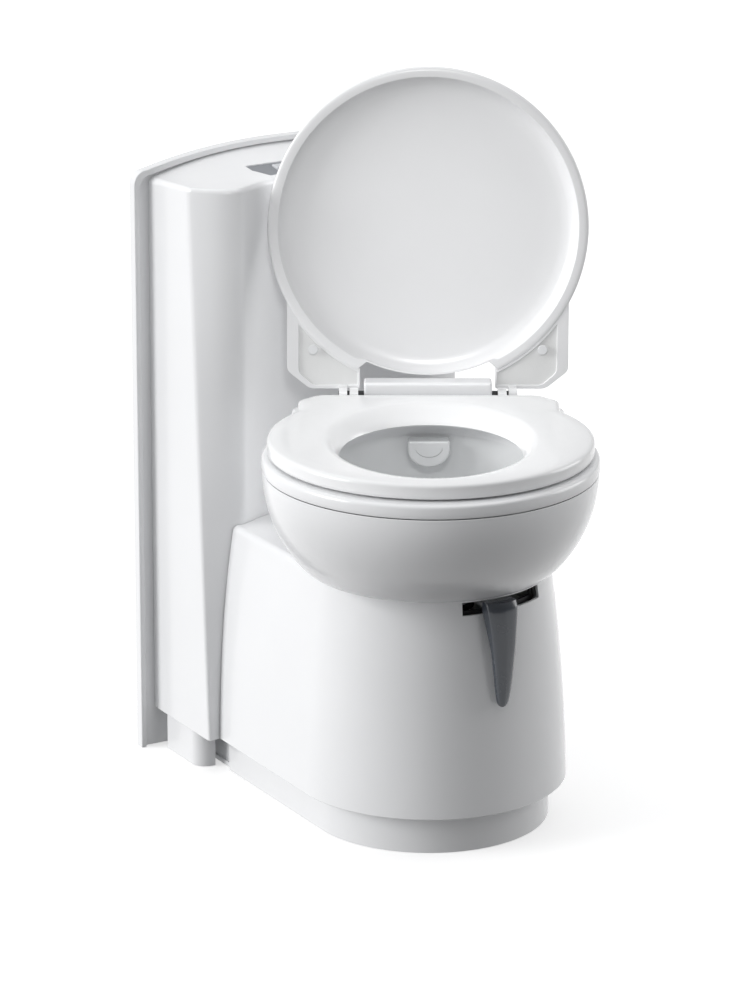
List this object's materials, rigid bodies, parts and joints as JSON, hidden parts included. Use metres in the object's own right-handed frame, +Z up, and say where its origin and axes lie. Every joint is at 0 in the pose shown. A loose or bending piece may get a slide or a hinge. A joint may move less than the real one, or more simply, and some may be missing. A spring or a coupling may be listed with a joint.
{
  "type": "cassette toilet",
  "caption": "Cassette toilet for a motorhome: wall console with flush tank, turning bowl with seat and lid on a pedestal, and a waste cassette that slides out behind",
  "frame": {"origin": "on the floor, on the vertical axis that the bowl turns about", "axes": "+Z up; +Y towards the wall behind the console; -Y towards the front; +X to the right of someone facing the toilet"},
  "size_m": [0.4929, 0.6558, 0.8895],
  "materials": {
    "white_gloss": "glossy",
    "white_satin": "satin",
    "tank_plastic": "satin",
    "slate_grey": "satin",
    "panel_grey": "satin",
    "dark_plastic": "matte",
    "clear_lens": "clear",
    "black_rubber": "matte",
    "steel": "brushed"
  },
  "bodies": {
    "console": {"back_frame": "white_gloss", "flange_screw_1": "steel", "flange_screw_2": "steel", "flange_screw_3": "steel", "flange_screw_4": "steel", "console_cover": "white_gloss", "control_panel": "panel_grey", "level_lens": "clear_lens", "pedestal_shell": "white_gloss", "lever_bezel": "dark_plastic", "plinth_front": "white_gloss", "plinth_left": "white_gloss", "plinth_right": "white_gloss", "base_plate": "white_satin", "deck_bearing": "dark_plastic", "flush_tank": "tank_plastic", "flush_tank_lid": "tank_plastic", "filler_neck": "white_satin", "flush_pump": "dark_plastic", "electronics_box": "white_satin", "flush_hose": "black_rubber", "hose_elbow": "white_satin"},
    "flush_key": {"flush_button": "panel_grey"},
    "fill_cap": {"filler_cap": "slate_grey"},
    "bowl": {"bowl_shell": "white_gloss", "bowl_foot": "white_gloss", "bowl_basin": "white_gloss", "outlet_neck": "white_gloss", "rim_band": "white_gloss", "flush_nozzle": "white_gloss", "swivel_collar": "white_satin", "swivel_retainer": "white_satin", "hinge_bar": "white_gloss", "hinge_pin_left": "dark_plastic", "hinge_pin_right": "dark_plastic"},
    "seat": {"seat_ring": "white_gloss", "seat_bumper_1": "black_rubber", "seat_bumper_2": "black_rubber", "seat_bumper_3": "black_rubber", "seat_bumper_4": "black_rubber"},
    "lid": {"lid": "white_gloss", "lid_bumper_left": "white_satin", "lid_bumper_right": "white_satin"},
    "lever": {"lever_ring": "white_satin", "blade_lever": "slate_grey"},
    "cassette": {"cassette_lower": "tank_plastic", "cassette_upper": "tank_plastic", "mechanism_cover": "tank_plastic", "lip_seal": "black_rubber", "level_gauge": "clear_lens", "vent_collar": "tank_plastic"},
    "blade": {"closing_blade": "panel_grey", "blade_shaft": "steel", "blade_pinion": "white_satin"},
    "vent": {"vent_button": "slate_grey"},
    "spout": {"pour_spout": "tank_plastic"},
    "pour_cap": {"spout_cap": "slate_grey"},
    "handle": {"carry_handle": "slate_grey"},
    "roller_left": {"wheel_left": "dark_plastic"},
    "roller_right": {"wheel_right": "dark_plastic"}
  },
  "joints": [
    {"name": "bowl_swivel", "type": "hinge", "parent": "console", "child": "bowl", "pos_m": [0, 0, 0.33], "axis": [0, 0, 1], "range_deg": [-60, 120]},
    {"name": "seat_hinge", "type": "hinge", "parent": "bowl", "child": "seat", "pos_m": [0.0565, 0.09786, 0.4965], "axis": [-0.866, 0.5, 0], "range_deg": [0, 94]},
    {"name": "lid_hinge", "type": "hinge", "parent": "bowl", "child": "lid", "pos_m": [0.0565, 0.09786, 0.4965], "axis": [-0.866, 0.5, 0], "range_deg": [-97, 0]},
    {"name": "lever_swing", "type": "hinge", "parent": "console", "child": "lever", "pos_m": [0, 0, 0.306], "axis": [0, 0, 1], "range_deg": [0, 22]},
    {"name": "cassette_slide", "type": "slide", "parent": "console", "child": "cassette", "axis": [0, 1, 0], "range_m": [0, 0.4]},
    {"name": "blade_turn", "type": "hinge", "parent": "cassette", "child": "blade", "pos_m": [0, 0.095, 0.2585], "axis": [0, 0, 1], "range_deg": [-60.5, 0]},
    {"name": "flush_press", "type": "slide", "parent": "console", "child": "flush_key", "axis": [0, 0, -1], "range_m": [0, 0.0025], "stiffness_N_per_m": 250, "springref_m": -0.001},
    {"name": "vent_press", "type": "slide", "parent": "cassette", "child": "vent", "axis": [0, 0, -1], "range_m": [0, 0.0025], "stiffness_N_per_m": 250, "springref_m": -0.001},
    {"name": "spout_swing", "type": "hinge", "parent": "cassette", "child": "spout", "pos_m": [0.088, 0.338, 0.205], "axis": [0, 1, 0], "range_deg": [0, 90]},
    {"name": "pour_cap_turn", "type": "hinge", "parent": "spout", "child": "pour_cap", "pos_m": [-0.0665, 0.338, 0.205], "axis": [1, 0, 0], "continuous": true},
    {"name": "fill_cap_turn", "type": "hinge", "parent": "console", "child": "fill_cap", "pos_m": [-0.09, 0.368, 0.6], "axis": [0, 1, 0], "range_deg": [0, 90]},
    {"name": "handle_swing", "type": "hinge", "parent": "cassette", "child": "handle", "pos_m": [-0.05, 0.3085, 0.135], "axis": [1, 0, 0], "range_deg": [0, 85]},
    {"name": "roller_left_spin", "type": "hinge", "parent": "cassette", "child": "roller_left", "pos_m": [-0.1145, -0.045, 0.0245], "axis": [1, 0, 0], "continuous": true},
    {"name": "roller_right_spin", "type": "hinge", "parent": "cassette", "child": "roller_right", "pos_m": [0.1145, -0.045, 0.0245], "axis": [1, 0, 0], "continuous": true}
  ],
  "couplings": [
    {"joint": "blade_turn", "follows": "lever_swing", "ratio": -2.7273}
  ]
}
